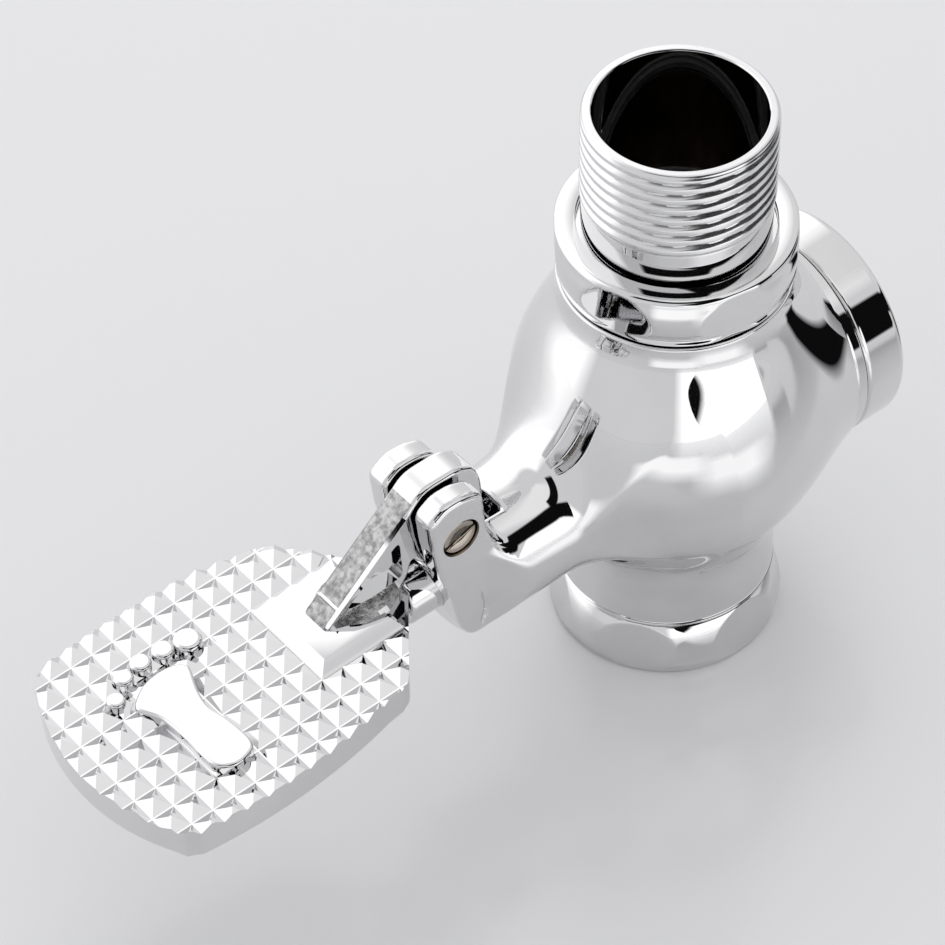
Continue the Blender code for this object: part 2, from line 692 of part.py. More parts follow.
def make_pin(brass):
    profile = [
        (0, -PIN_END),
        (PIN_R - 0.5 * MM, -PIN_END),
        (PIN_R, 0.5 * MM - PIN_END),
        (PIN_R, PIN_HEAD_SEAT + GAP),
        (PIN_HEAD_R, PIN_HEAD_SEAT + GAP),
        (PIN_HEAD_R, PIN_END - 0.3 * MM),
        (PIN_HEAD_R - 0.3 * MM, PIN_END),
        (0, PIN_END),
    ]
    pin = along_x("hinge_pin", turned(profile, TINY_ROUND), brass)
    slot = thing("screwdriver_slot", block((7.0 * MM, -6 * MM, -0.5 * MM), (10 * MM, 6 * MM, 0.5 * MM)))
    slot.location = (0, HINGE_Y, HINGE_Z)
    slot.rotation_euler = (math.radians(20), 0, 0)
    cut(pin, slot)


def main():
    for old in list(bpy.data.objects):
        bpy.data.objects.remove(old)
    chrome = finish("chrome", (0.82, 0.82, 0.83), 1.0, 0.04)
    brass = finish("brass", (0.72, 0.53, 0.29), 1.0, 0.25)
    rubber = finish("rubber", (0.03, 0.03, 0.03), 0.0, 0.6)
    plastic = finish("slip_plastic", (0.75, 0.75, 0.72), 0.0, 0.4)
    steel = finish("spring_steel", (0.6, 0.6, 0.6), 1.0, 0.3)

    make_body(chrome)
    make_union_nut(chrome)
    make_outlet_nut(chrome)
    make_inlet_tail(chrome)
    make_cap(chrome)
    make_seals(rubber, plastic)
    make_main_valve(brass, rubber, steel)
    make_pilot(brass, rubber, steel)
    make_push_rod(chrome, brass, steel)
    make_pedal(chrome)
    make_pin(brass)


main()
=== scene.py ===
import math

import bmesh
import bpy
import numpy as np
from mathutils import Matrix, Vector


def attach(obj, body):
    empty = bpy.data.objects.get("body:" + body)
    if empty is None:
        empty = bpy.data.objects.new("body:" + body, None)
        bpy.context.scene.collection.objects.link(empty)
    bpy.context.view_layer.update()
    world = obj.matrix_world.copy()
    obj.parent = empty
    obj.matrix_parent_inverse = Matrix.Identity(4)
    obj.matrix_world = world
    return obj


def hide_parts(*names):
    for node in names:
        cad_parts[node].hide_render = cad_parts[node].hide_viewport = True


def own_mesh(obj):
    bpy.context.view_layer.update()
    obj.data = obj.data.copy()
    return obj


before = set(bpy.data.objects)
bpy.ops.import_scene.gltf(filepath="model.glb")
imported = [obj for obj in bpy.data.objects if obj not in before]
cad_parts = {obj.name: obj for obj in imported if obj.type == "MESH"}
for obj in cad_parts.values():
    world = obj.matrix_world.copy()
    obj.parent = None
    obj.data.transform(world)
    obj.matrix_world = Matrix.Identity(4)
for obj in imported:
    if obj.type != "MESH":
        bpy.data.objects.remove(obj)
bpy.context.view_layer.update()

# Lengths in this script are millimetres until a mesh is made.
MM = 0.001
SHARP = 28  # degrees between two faces, above which their edge is shaded as a sharp one

PISTON_Z = 48.9
ROD_Z = 42.8
HINGE = (0.0, -54.4, 59.7)
SPIGOT_R = 18.3

# The vertical body of revolution, as (height, radius)
GLOBE = [(8, 19.65), (14, 19.65), (22.5, 19.6), (30, 21.9), (37.5, 25.6), (46, 28.1), (53.5, 28.65), (61, 27.6),
         (68, 25.1), (73.5, 22.3), (77.9, 20.05), (82, 18.6)]
GLOBE_START, GLOBE_END = 11.0, 81.0
COLLAR_R, COLLAR_TOP = 20.5, 83.1
BOSS_R, BOSS_END = 20.4, 24.9
# The front neck, as (y, height of its middle) and (y, radius)
NECK_CENTRE = [(-70, 42.8), (-44, 42.8), (-34, 43.1), (-30, 44.0), (-26, 46.0), (-20, 49.5), (0, 51)]
NECK_RADIUS = [(-70, 13.4), (-52, 13.3), (-48.5, 12.7), (-43, 12.3), (-34, 12.4), (-30, 13.0), (-26, 14.6),
               (-20, 17.5), (0, 18.5)]
FACE_FOOT = (-52.7, 30.0)  # the leaning front face passes through this (y, z)
FACE_LEAN = 0.235
EAR_HALF, SLOT_HALF, SLOT_FLOOR, SLOT_BACK = 8.8, 3.8, 48.5, -41.8
# The fork's outline, seen from the side, as (y, z)
EARS = [(-54.0, 36.0), (-56.2, 46.2), (-58.7, 52.3), (-60.1, 59), (-61.0, 66.4), (-57.6, 68.9), (-53.5, 68.9),
        (-49.4, 67.4), (-48.6, 58.5), (-46.2, 52.2), (-42.5, 47.5), (-42.5, 36.0)]
SWELL_START, SWELL_LENGTH, SWELL = -50.8, 12, 4.2  # where and how far the fork's sides widen into the neck
CREASE_Y, CREASE_Z = -49.2, 39.4  # the middle of the small crease in each side
BODY_CELL = 0.55

# Pedal
PLATE_PIVOT = (-90.0, 47.6)  # y and z of the middle of the tread's foot plane
PLATE_TILT = math.radians(1.55)
PLATE_THICK = 6.0
PITCH_X, PITCH_Y, TREAD_RISE = 4.92, 4.33, 1.45

# The camera: degrees, millimetres, and pixels in a picture 945 wide
CAMERA_TURN, CAMERA_RISE, CAMERA_ROLL = 51.02, 47.12, -0.68
CAMERA_DISTANCE, AIM_HEIGHT, AIM_LEFT, AIM_DOWN = 753.8, 60, 34.64, 19.62
FOCAL_PIXELS, PICTURE_PIXELS, SENSOR_WIDTH = 4330.1, 945, 36.0

# The studio
DARK = 0.005
FLOOR_HALF = 3000
STUDIO_CENTRE = (0, 0, 60)


# Numbers

def spline(points):
    """A natural cubic spline through (position, value) pairs, held level outside them."""
    t, v = np.array(points, float).T
    h = np.diff(t)
    n = len(points)
    matrix = np.eye(n)
    right = np.zeros(n)
    for i in range(1, n - 1):
        matrix[i, i - 1 : i + 2] = h[i - 1], 2 * (h[i - 1] + h[i]), h[i]
        right[i] = 6 * ((v[i + 1] - v[i]) / h[i] - (v[i] - v[i - 1]) / h[i - 1])
    bend = np.linalg.solve(matrix, right)

    def value(at):
        at = np.clip(at, t[0], t[-1])
        i = np.clip(np.searchsorted(t, at) - 1, 0, n - 2)
        a, b = (t[i + 1] - at) / h[i], (at - t[i]) / h[i]
        curve = ((a**3 - a) * bend[i] + (b**3 - b) * bend[i + 1]) * h[i] ** 2 / 6
        return a * v[i] + b * v[i + 1] + curve

    return value


def smooth_min(a, b, width):
    """The smaller of two distances, blended where they differ by less than `width`."""
    share = np.clip(0.5 + 0.5 * (b - a) / width, 0, 1)
    return b + (a - b) * share - width * share * (1 - share)


def smooth_max(a, b, width):
    """The larger of two distances, blended in the same way."""
    return -smooth_min(-a, -b, width)


def to_outline(outline, u, v):
    """Signed distance in the plane to a closed outline, negative inside."""
    u, v = np.broadcast_arrays(np.asarray(u, float), np.asarray(v, float))
    nearest = np.full(u.shape, np.inf)
    inside = np.zeros(u.shape, bool)
    for (ax, ay), (bx, by) in zip(outline, [*outline[1:], outline[0]]):
        ex, ey, wx, wy = bx - ax, by - ay, u - ax, v - ay
        along = np.clip((wx * ex + wy * ey) / (ex * ex + ey * ey), 0, 1)
        nearest = np.minimum(nearest, np.hypot(wx - ex * along, wy - ey * along))
        crosses = (ay > v) != (by > v)
        level = (v - ay) / (ey if ey else 1)
        inside ^= crosses & (u < ax + ex * level)
    return np.where(inside, -nearest, nearest)


def rounded(points, radius, steps=4):
    """A closed outline with its corners cut by curves that start at most `radius` from them."""
    outline = []
    for before, corner, after in zip([points[-1], *points], points, [*points[1:], points[0]]):
        corner = Vector(corner)
        first, last = Vector(before) - corner, Vector(after) - corner
        start = corner + first * min(radius / first.length, 0.45)
        end = corner + last * min(radius / last.length, 0.45)
        for i in range(steps + 1):
            t = i / steps
            outline.append(tuple(start * (1 - t) ** 2 + corner * 2 * t * (1 - t) + end * t**2))
    return outline


def softened(points, ring=True):
    """A turned profile of (radius, height, corner radius), with its corners rounded between support points."""
    outline = []
    last = len(points) - 1
    for i, (r, z, soft) in enumerate(points):
        if not soft or (not ring and i in (0, last)):
            outline.append((r, z))
            continue
        here = Vector((r, z))
        before = Vector(points[i - 1][:2]) - here
        after = Vector(points[(i + 1) % len(points)][:2]) - here
        reach = min(soft, 0.48 * before.length, 0.48 * after.length)
        before, after = before.normalized(), after.normalized()
        hold = 1 + 0.35 / (1 + 2 * reach)
        outline.append(tuple(here + before * min(reach * hold, reach + 0.2)))
        for k in range(6):
            t = k / 5
            outline.append(tuple(here + before * reach * (1 - t) ** 2 + after * reach * t**2))
        outline.append(tuple(here + after * min(reach * hold, reach + 0.2)))
    return outline


def circle(centre, radius, start, end, steps):
    """Points on a circle, with the angles in degrees."""
    angles = np.radians(np.linspace(start, end, steps + 1))
    return [(centre[0] + radius * math.cos(a), centre[1] + radius * math.sin(a)) for a in angles]


# Meshes

def piece(name, points, faces, smooth=True):
    """An object from points in millimetres."""
    data = bpy.data.meshes.new(name)
    data.from_pydata((np.asarray(points, float) * MM).tolist(), [], [list(f) for f in faces])
    data.validate()
    made = bpy.data.objects.new(name, data)
    bpy.context.scene.collection.objects.link(made)
    if smooth:
        data.shade_smooth()
    return made


def grid_faces(rows, columns, closed_rows, closed_columns):
    """Quads over a grid of points kept row by row."""
    i = np.arange(rows if closed_rows else rows - 1)[:, None]
    j = np.arange(columns if closed_columns else columns - 1)[None, :]
    i2, j2 = (i + 1) % rows, (j + 1) % columns
    corners = (i * columns + j, i * columns + j2, i2 * columns + j2, i2 * columns + j)
    return np.stack(np.broadcast_arrays(*corners), -1).reshape(-1, 4).tolist()


# Where a turned profile's points go when its axis is Z, Y or X.
AXES = {"Z": (0, 1, 2), "Y": (0, 2, 1), "X": (2, 1, 0)}


def lathe(name, profile, sides=192, axis="Z", centre=(0, 0, 0), ring=True):
    """Turns (radius, height) pairs. Without `ring` a flat face closes each end."""
    turn = np.linspace(0, 2 * math.pi, sides, endpoint=False)
    rows = []
    for r, h in profile:
        rows.append(np.stack([r * np.cos(turn), r * np.sin(turn), np.full(sides, h)], -1))
    points = np.array(rows).reshape(-1, 3)
    faces = grid_faces(len(profile), sides, ring, True)
    if not ring:
        faces.append(list(range(sides))[::-1])
        faces.append([(len(profile) - 1) * sides + k for k in range(sides)])
    points = points[:, AXES[axis]] + np.array(centre)
    made = piece(name, points, faces)
    outward(made)
    made.data.set_sharp_from_angle(angle=math.radians(SHARP))
    return made


def outward(made):
    """Turns every face of a closed mesh outwards."""
    mesh = bmesh.new()
    mesh.from_mesh(made.data)
    bmesh.ops.recalc_face_normals(mesh, faces=mesh.faces)
    mesh.to_mesh(made.data)
    mesh.free()
    made.data.shade_smooth()


def slab(name, outline, layers, axis="X"):
    """An outline across `axis`, X or Z, through layers of (level, inset)."""
    rows = []
    for level, inward in layers:
        shape = inset(outline, inward) if inward else outline
        rows.append([(level, a, b) if axis == "X" else (a, b, level) for a, b in shape])
    count = len(outline)
    points = np.array(rows).reshape(-1, 3)
    faces = grid_faces(len(layers), count, False, True)
    faces.append(list(range(count)))
    faces.append([(len(layers) - 1) * count + k for k in range(count)])
    made = piece(name, points, faces)
    outward(made)
    made.data.set_sharp_from_angle(angle=math.radians(SHARP))
    return made


def block(name, low, high):
    """A box between two corners."""
    corners = [(low[0], low[1]), (high[0], low[1]), (high[0], high[1]), (low[0], high[1])]
    return slab(name, corners, [(low[2], 0), (high[2], 0)], "Z")


def inset(points, distance):
    """A closed outline moved inwards."""
    area = sum(a[0] * b[1] - b[0] * a[1] for a, b in zip(points, [*points[1:], points[0]]))
    side = 1 if area > 0 else -1
    moved = []
    for before, here, after in zip([points[-1], *points], points, [*points[1:], points[0]]):
        first = (Vector(here) - Vector(before)).normalized()
        second = (Vector(after) - Vector(here)).normalized()
        inward = (first + second).orthogonal().normalized() * side
        lean = max(inward.dot(first.orthogonal()) * side, 0.5)
        moved.append(tuple(Vector(here) + inward * distance / lean))
    return moved


def soft_layers(low, high, radius, steps=4):
    """Layers of (level, inset) whose edges are rounded, with a support layer beside each."""
    turn = [math.radians(90 * k / steps) for k in range(steps + 1)]
    start = [(low + radius * (1 - math.cos(a)), radius * (1 - math.sin(a))) for a in turn]
    hold = (low + radius + 0.15, 0)
    end = [(high + low - level, inward) for level, inward in reversed([*start, hold])]
    return [*start, hold, *end]


def combine(target, joins=(), cuts=(), keep_inside=()):
    """Joins, cuts and trims with Booleans, applies them and removes the helpers. Every mesh is closed, as the
    MANIFOLD solver needs."""
    helpers = [(other, "UNION") for other in joins]
    helpers += [(other, "DIFFERENCE") for other in cuts]
    helpers += [(other, "INTERSECT") for other in keep_inside]
    for other, operation in helpers:
        modifier = target.modifiers.new(other.name, "BOOLEAN")
        modifier.object, modifier.operation, modifier.solver = other, operation, "MANIFOLD"
    bpy.context.view_layer.update()
    graph = bpy.context.evaluated_depsgraph_get()
    result = bpy.data.meshes.new_from_object(target.evaluated_get(graph), depsgraph=graph)
    result.name = target.name
    target.modifiers.clear()
    target.data = result
    for other, _ in helpers:
        bpy.data.objects.remove(other)
    return target


def set_face_normals(made, sharp):
    """Shades each corner with the faces around it, weighed by area, so that a flat face beside a small rounding
    looks flat. Faces more than `sharp` degrees apart don't blend."""
    mesh = made.data
    normals = np.array([face.normal for face in mesh.polygons])
    areas = np.array([face.area for face in mesh.polygons])
    around = [[] for _ in mesh.vertices]
    for face in mesh.polygons:
        for vertex in face.vertices:
            around[vertex].append(face.index)
    limit = math.cos(math.radians(sharp))
    corners = []
    for face in mesh.polygons:
        for vertex in face.vertices:
            near = np.array(around[vertex])
            near = near[normals[near] @ normals[face.index] > limit]
            corners.append(tuple(areas[near] @ normals[near]) if len(near) else tuple(face.normal))
    mesh.shade_smooth()
    mesh.normals_split_custom_set([Vector(corner).normalized() for corner in corners])
    return made


# Surfaces from a distance field

def surface_net(field, low, high, pitch):
    """Points and quads over field = 0: one point in each crossed cell, then moved onto the surface."""
    axes = [np.arange(a, b + pitch, pitch) for a, b in zip(low, high)]
    values = field(axes[0][:, None, None], axes[1][None, :, None], axes[2][None, None, :])
    inside = values < 0
    corners = [(i, j, k) for i in (0, 1) for j in (0, 1) for k in (0, 1)]
    shape = np.array(inside.shape) - 1

    def corner(array, offset):
        return array[tuple(slice(o, o + s) for o, s in zip(offset, shape))]

    count = sum(corner(inside, c).astype(np.int8) for c in corners)
    cells = np.argwhere((count > 0) & (count < 8))
    number = np.full(shape, -1)
    number[tuple(cells.T)] = np.arange(len(cells))

    total = np.zeros((len(cells), 3))
    crossings = np.zeros((len(cells), 1))
    for a in corners:
        for axis in range(3):
            if a[axis]:
                continue
            step = np.eye(3, dtype=int)[axis]
            start = cells + np.array(a)
            here = values[tuple(start.T)]
            there = values[tuple((start + step).T)]
            crossed = (here < 0) != (there < 0)
            part = np.where(crossed, here / np.where(crossed, here - there, 1), 0)
            total += np.where(crossed[:, None], start + step * part[:, None], 0)
            crossings += crossed[:, None]
    points = np.array([a[0] for a in axes]) + total / crossings * pitch

    faces = []
    for axis in range(3):
        first = np.take(inside, range(inside.shape[axis] - 1), axis)
        second = np.take(inside, range(1, inside.shape[axis]), axis)
        edges = np.argwhere(first != second)
        u = np.eye(3, dtype=int)[(axis + 1) % 3]
        v = np.eye(3, dtype=int)[(axis + 2) % 3]
        quads = np.stack([number[tuple((edges - shift).T)] for shift in (u + v, v, 0 * u, u)], -1)
        leaving = first[tuple(edges.T)]
        faces.append(np.where(leaving[:, None], quads, quads[:, ::-1]))
    faces = np.concatenate(faces)

    for _ in range(2):
        points = onto(field, points)
        points = 0.5 * points + 0.5 * neighbours(points, faces)
    return onto(field, onto(field, points)), faces


def neighbours(points, faces):
    """The middle of the faces around each point."""
    middle = points[faces].mean(1)
    total = np.zeros_like(points)
    count = np.zeros(len(points))
    for k in range(4):
        np.add.at(total, faces[:, k], middle)
        np.add.at(count, faces[:, k], 1)
    return total / count[:, None]


def gradient(field, points, step=0.02):
    """The field's slope at each point."""
    out = np.empty_like(points)
    for axis in range(3):
        shift = np.zeros(3)
        shift[axis] = step
        out[:, axis] = (field(*(points + shift).T) - field(*(points - shift).T)) / (2 * step)
    return out


def onto(field, points):
    """Moves each point onto field = 0 in two Newton steps."""
    for _ in range(2):
        slope = gradient(field, points)
        points = points - slope * (field(*points.T) / np.maximum((slope**2).sum(1), 1e-9))[:, None]
    return points


def set_field_normals(made, field, within=0.01):
    """Takes the shading normals from the field wherever a corner lies within `within` mm of it."""
    mesh = made.data
    mesh.set_sharp_from_angle(angle=math.radians(SHARP))
    places = np.empty(len(mesh.vertices) * 3)
    mesh.vertices.foreach_get("co", places)
    places = places.reshape(-1, 3) / MM
    slope = gradient(field, places)
    slope /= np.linalg.norm(slope, axis=1, keepdims=True)
    near = np.abs(field(*places.T)) < within
    vertex = np.empty(len(mesh.loops), np.int32)
    mesh.loops.foreach_get("vertex_index", vertex)
    normals = np.empty(len(mesh.loops) * 3)
    mesh.corner_normals.foreach_get("vector", normals)
    normals = normals.reshape(-1, 3)
    face_normal = np.empty(len(mesh.polygons) * 3)
    mesh.polygons.foreach_get("normal", face_normal)
    size = np.empty(len(mesh.polygons), np.int32)
    mesh.polygons.foreach_get("loop_total", size)
    facing = np.repeat(face_normal.reshape(-1, 3), size, axis=0)
    field_normal = slope[vertex]
    same_way = (facing * field_normal).sum(1) > 0.75
    use = near[vertex] & same_way
    normals[use] = field_normal[use]
    mesh.normals_split_custom_set(normals.tolist())


# The body

globe_radius = spline(GLOBE)
neck_centre = spline(NECK_CENTRE)
neck_radius = spline(NECK_RADIUS)
ear_outline = rounded(EARS, 1.6)


def body_field(x, y, z):
    """Distance to the outside of the body: globe, boss for the cap, neck and fork."""
    slope = (globe_radius(z + 0.05) - globe_radius(z - 0.05)) / 0.1
    globe = (np.hypot(x, y) - globe_radius(z)) / np.hypot(1, slope)
    boss = np.maximum(np.hypot(x, z - PISTON_Z) - BOSS_R, -y)

    front = -(y - FACE_FOOT[0] + FACE_LEAN * (z - FACE_FOOT[1])) / math.hypot(1, FACE_LEAN)
    neck = np.hypot(x, z - neck_centre(y)) - neck_radius(y)
    neck = np.maximum(smooth_max(neck, front, 4.0), y)
    ears = smooth_max(np.abs(x) - EAR_HALF, to_outline(ear_outline, y, z), 1.6)
    fork = smooth_min(neck, ears, 1.6)
    swell = np.clip((y - SWELL_START) / SWELL_LENGTH, 0, 1)
    from_crease = (y - CREASE_Y + 0.05 * (z - CREASE_Z) ** 2) / 0.5
    crease = np.exp(-(from_crease**2)) * np.clip(2.2 - np.abs(z - CREASE_Z) / 2.3, 0, 1)
    side = EAR_HALF + SWELL * swell**2 * (3 - 2 * swell) - 0.55 * crease
    fork = smooth_max(fork, np.abs(x) - side, 0.7)

    whole = smooth_min(smooth_min(globe, boss, 11.0), fork, 7.0)
    slot = smooth_max(np.abs(x) - SLOT_HALF, smooth_max(SLOT_FLOOR - z, y - SLOT_BACK, 3.0), 0.8)
    ends = np.maximum(np.maximum(z - GLOBE_END, GLOBE_START - z), y - BOSS_END - 3)
    whole = np.maximum(whole, ends)
    return smooth_max(whole, -slot, 1.1)


def inside_of(made, finishes):
    """Gives a cutter the second finish, which it leaves on the walls it cuts."""
    for finish in finishes:
        made.data.materials.append(finish)
    made.data.polygons.foreach_set("material_index", [1] * len(made.data.polygons))
    return made


def make_body(chrome, raw):
    """The casting: its outside from the field, with the turned steps, waterways and bores."""
    points, faces = surface_net(body_field, (-30.5, -64, 9), (30.5, 31, 83), BODY_CELL)
    body = piece("body_casting", points, faces)
    for finish in (chrome, raw):
        body.data.materials.append(finish)

    foot = softened([
        (15, 5, 0), (SPIGOT_R, 5, 0.3), (SPIGOT_R, 11.8, 0), (19.3, 11.8, 0.3), (19.95, 12.3, 0.4),
        (19.3, 12.75, 0.2), (19.0, 13.2, 0), (15, 20, 0),
    ])
    collar = softened([
        (10, 70, 0), (COLLAR_R, 70, 0), (COLLAR_R, COLLAR_TOP, 0.5), (SPIGOT_R, COLLAR_TOP, 0),
        (SPIGOT_R, 89.6, 0.3), (10, 89.6, 0),
    ])
    ring = softened([
        (15, 18, 0), (19.0, 18, 0), (19.8, 24.5, 0), (19.8, 25.6, 0), (20.3, 25.75, 0.2), (20.7, 26.2, 0.3),
        (20.7, 28.24, 0.25), (15, 28.24, 0),
    ])
    behind_globe = (0, 0, PISTON_Z)
    joins = [
        lathe("foot", foot),
        lathe("collar", collar),
        lathe("ring", ring, axis="Y", centre=behind_globe),
    ]
    trims = [
        block("below", (-40, -40, -5), (40, 40, 12.95)),
        block("behind", (-40, BOSS_END, 0), (40, 60, 100)),
    ]
    combine(body, cuts=trims)
    combine(body, joins=joins)

    outlet_port = [(17.8, 0), (17.8, 3.9), (14, 8.4), (14, 22), (11, 25.5)]
    piston_bore = [(11.5, -20), (11.5, -8.3), (13.8, -8.3), (13.8, -4.9), (15.5, -4.9), (15.5, 19.5),
                   (17.8, 19.5), (17.8, 40)]
    rod_bore = [(5.46, -80), (5.46, -27.7), (4.2, -27.7), (4.2, -19)]
    pin_hole = [(2.9, -20), (2.9, 4.6), (3.72, 4.6), (3.72, 8.35), (4.2, 9.2), (4.2, 20)]
    cutters = [
        lathe("inlet_port", [(13, 68), (13, 100)], ring=False),
        lathe("throat", [(7, 50), (7, 69)], centre=(0, 3, 0), ring=False),
        lathe("outlet_port", outlet_port, ring=False),
        lathe("waterway", [(5.2, 20), (5.2, 44)], centre=(0, -11, 0), ring=False),
        lathe("piston_bore", piston_bore, axis="Y", centre=behind_globe, ring=False),
        lathe("rod_bore", rod_bore, 96, "Y", (0, 0, ROD_Z), ring=False),
        lathe("pin_hole", pin_hole, 64, "X", HINGE, ring=False),
    ]
    combine(body, cuts=[inside_of(cutter, (chrome, raw)) for cutter in cutters])
    body.data.shade_smooth()
    set_field_normals(body, body_field)
    return body


# Nuts, tail and cap

def nut(name, outside, bore, flat, columns=600):
    """A nut whose six leaning flats cut a turned outside. `outside` is (radius, height) from the bottom up, and
    `bore` from the top down. `flat` is (distance, at height, first turn, lean), the last two in degrees."""
    heights = [np.linspace(a[1], b[1], 5)[:-1] for a, b in zip(outside, outside[1:])]
    heights = np.append(np.concatenate(heights), outside[-1][1])
    radius = spline([(z, r) for r, z in outside])(heights)
    turn = np.linspace(0, 2 * math.pi, columns, endpoint=False)
    distance, level, first, tilt = flat
    sector = (turn - math.radians(first) + math.pi / 6) % (math.pi / 3) - math.pi / 6
    out_to_flat = distance + (heights[:, None] - level) * math.tan(math.radians(tilt))
    plane = out_to_flat / np.cos(sector)[None, :]
    outer = smooth_min(np.broadcast_to(radius[:, None], plane.shape), plane, 0.12)
    rows = []
    for r, z in [*zip(outer, heights), *bore]:
        rows.append(np.stack([r * np.cos(turn), r * np.sin(turn), np.full(columns, z)], -1))
    made = piece(name, np.array(rows).reshape(-1, 3), grid_faces(len(rows), columns, True, True))
    outward(made)
    made.data.set_sharp_from_angle(angle=math.radians(38))
    return made


def make_union_nut():
    """The nut that holds the tail on the inlet."""
    outside = [(19.8, 83.5), (20.2, 83.75), (20.2, 84.15), (19.95, 84.6), (20.3, 85.2), (20.95, 86.4),
               (21.35, 88.0), (21.45, 89.8), (21.3, 91.6), (20.95, 93.2), (20.6, 94.2), (20.3, 94.46)]
    bore = [(20.0, 94.56), (19.6, 94.6), (17.6, 94.6), (17.2, 94.5), (17.05, 94.2), (17.05, 93.2), (18.6, 93.2),
            (18.6, 83.7), (18.8, 83.5)]
    return nut("union_nut", outside, bore, (20.75, 94.46, -11, 5.5))


def make_outlet_nut():
    """The nut at the foot, which clamps the flush pipe's seal."""
    outside = [(19.6, 0), (20.2, 0.2), (20.7, 0.8), (21.2, 2.4), (21.45, 4.5), (21.2, 7.0), (20.5, 9.2),
               (19.9, 10.4), (19.4, 11.2)]
    bore = [(19.2, 11.4), (18.95, 11.47), (18.6, 11.3), (18.6, 2.0), (15.2, 2.0), (15.2, 0.2), (15.4, 0)]
    return nut("foot_nut", outside, bore, (20.5, 1.9, 4.5, -6.5))


def make_tail(chrome, satin):
    """The threaded tail: a helical thread, with satin flanks, over a tube. Heights are in the valve's frame."""
    pitch, bottom, top = 2.309, 100.6, 118.3
    columns, rows = 240, 130
    crest, groove_depth = 16.62, 0.62
    turn = np.linspace(0, 2 * math.pi, columns, endpoint=False)
    heights = np.linspace(bottom - 0.2, top + 0.1, rows)
    phase = ((heights[:, None] - bottom) / pitch - turn[None, :] / (2 * math.pi) + 0.35) % 1
    groove = np.abs(phase - 0.5) * 2  # 0 in the middle of the groove, 1 on the crest
    depth = groove_depth * np.clip(1 - groove / 0.66, 0, 1) ** 1.2
    depth = depth * np.clip((heights - bottom) / 1.2, 0, 1)[:, None]
    depth = depth * np.clip((top - heights) / 0.5, 0, 1)[:, None]
    outer = crest - depth - 0.32 * np.clip(1 - (heights - bottom) / 0.9, 0, 1)[:, None]
    outer = outer - 0.3 * np.clip((heights - top + 0.3) / 0.4, 0, 1)[:, None]

    def ring(r, z):
        return np.stack([r * np.cos(turn), r * np.sin(turn), np.full(columns, z)], -1)

    tube = softened([
        (16.3, 100.4, 0), (16.3, 92.9, 0), (18.0, 92.9, 0.2), (18.0, 91.4, 0.2), (14.67, 91.4, 0.2),
        (14.67, 118.55, 0.08), (14.9, 118.8, 0.08), (16.0, 118.8, 0.15), (16.3, 118.5, 0.1),
    ], ring=False)
    rings = [ring(r, z) for r, z in zip(outer[::-1], heights[::-1])]
    rings += [ring(r, z) for r, z in tube]
    made = piece("threaded_tail", np.array(rings).reshape(-1, 3), grid_faces(len(rings), columns, True, True))
    outward(made)
    made.data.set_sharp_from_angle(angle=math.radians(50))
    for finish in (chrome, satin):
        made.data.materials.append(finish)
    for face in made.data.polygons:
        above_flange = face.center.z > 100.4 * MM
        outside = math.hypot(face.center.x, face.center.y) > 15.2 * MM
        face.material_index = int(above_flange and outside)
    return made


def make_cap():
    """The screwed plug behind the piston, with a hexagonal key socket in its flat face."""
    back = 37.51
    socket_across = 12.0
    centre = (0, 0, PISTON_Z)
    profile = softened([
        (13.5, 20.3, 0.3), (17.5, 20.3, 0.3), (17.5, 24.9, 0), (15.9, 24.9, 0), (15.9, 27.1, 0), (17.5, 27.1, 0),
        (17.5, 28.54, 0), (20.3, 28.54, 0.1), (20.8, 29.0, 0.3), (20.8, back - 1.0, 0.7), (19.9, back, 0.5),
        (0.01, back, 0), (0.01, 33, 0), (13.5, 33, 0.5),
    ])
    cap = lathe("cap_plug", profile, 240, "Y", centre)
    corner = socket_across / math.sqrt(3)
    hexagon = lathe("key_socket", [(corner, 34.4), (corner, 50)], 6, "Y", centre, ring=False)
    lead_in = lathe("lead_in", [(6.2, back - 0.7), (7.6, back + 0.3), (7.6, 50)], 96, "Y", centre, ring=False)
    return set_face_normals(combine(cap, cuts=[hexagon, lead_in]), SHARP)


def make_push_rod():
    """The rod in the neck, with the round button that the pedal's nose pushes."""
    profile = softened([
        (0.01, -62.4, 0), (5.4, -62.4, 0.9), (5.4, -52.4, 0.3), (2.2, -52.4, 0), (2.2, -27.5, 0),
        (1.5, -27.5, 0), (1.5, -26.3, 0), (2.2, -26.3, 0), (2.2, -12.6, 0.5), (0.01, -12.6, 0),
    ], ring=False)
    return lathe("plunger", profile, 144, "Y", (0, 0, ROD_Z), ring=False)


def make_pin():
    """The hinge pin, with a driver slot in its head."""
    profile = softened([
        (0.01, -8.35, 0), (2.6, -8.35, 0.4), (2.6, 4.9, 0), (3.45, 4.9, 0.1), (3.45, 8.35, 0.45),
        (0.01, 8.35, 0),
    ], ring=False)
    pin = lathe("slotted_pin", profile, 96, "X", HINGE, ring=False)
    slot = block("driver_slot", (7.15, -6, -0.5), (10, 6, 0.5))
    slot_turn = math.radians(20)
    slot.data.transform(Matrix.Rotation(slot_turn, 4, "X"))
    slot.data.transform(Matrix.Translation(Vector(HINGE) * MM))
    return combine(pin, cuts=[slot])


# Pedal

def on_plate(made):
    """Moves a shape modelled about the tread's middle, with the tread at height 0, onto the tilted plate."""
    made.data.transform(Matrix.Rotation(PLATE_TILT, 4, "X"))
    made.data.transform(Matrix.Translation((0, PLATE_PIVOT[0] * MM, PLATE_PIVOT[1] * MM)))
    return made


def both_sides(half):
    """A closed outline from its right half."""
    return [*half, *[(-x, y) for x, y in reversed(half)]]


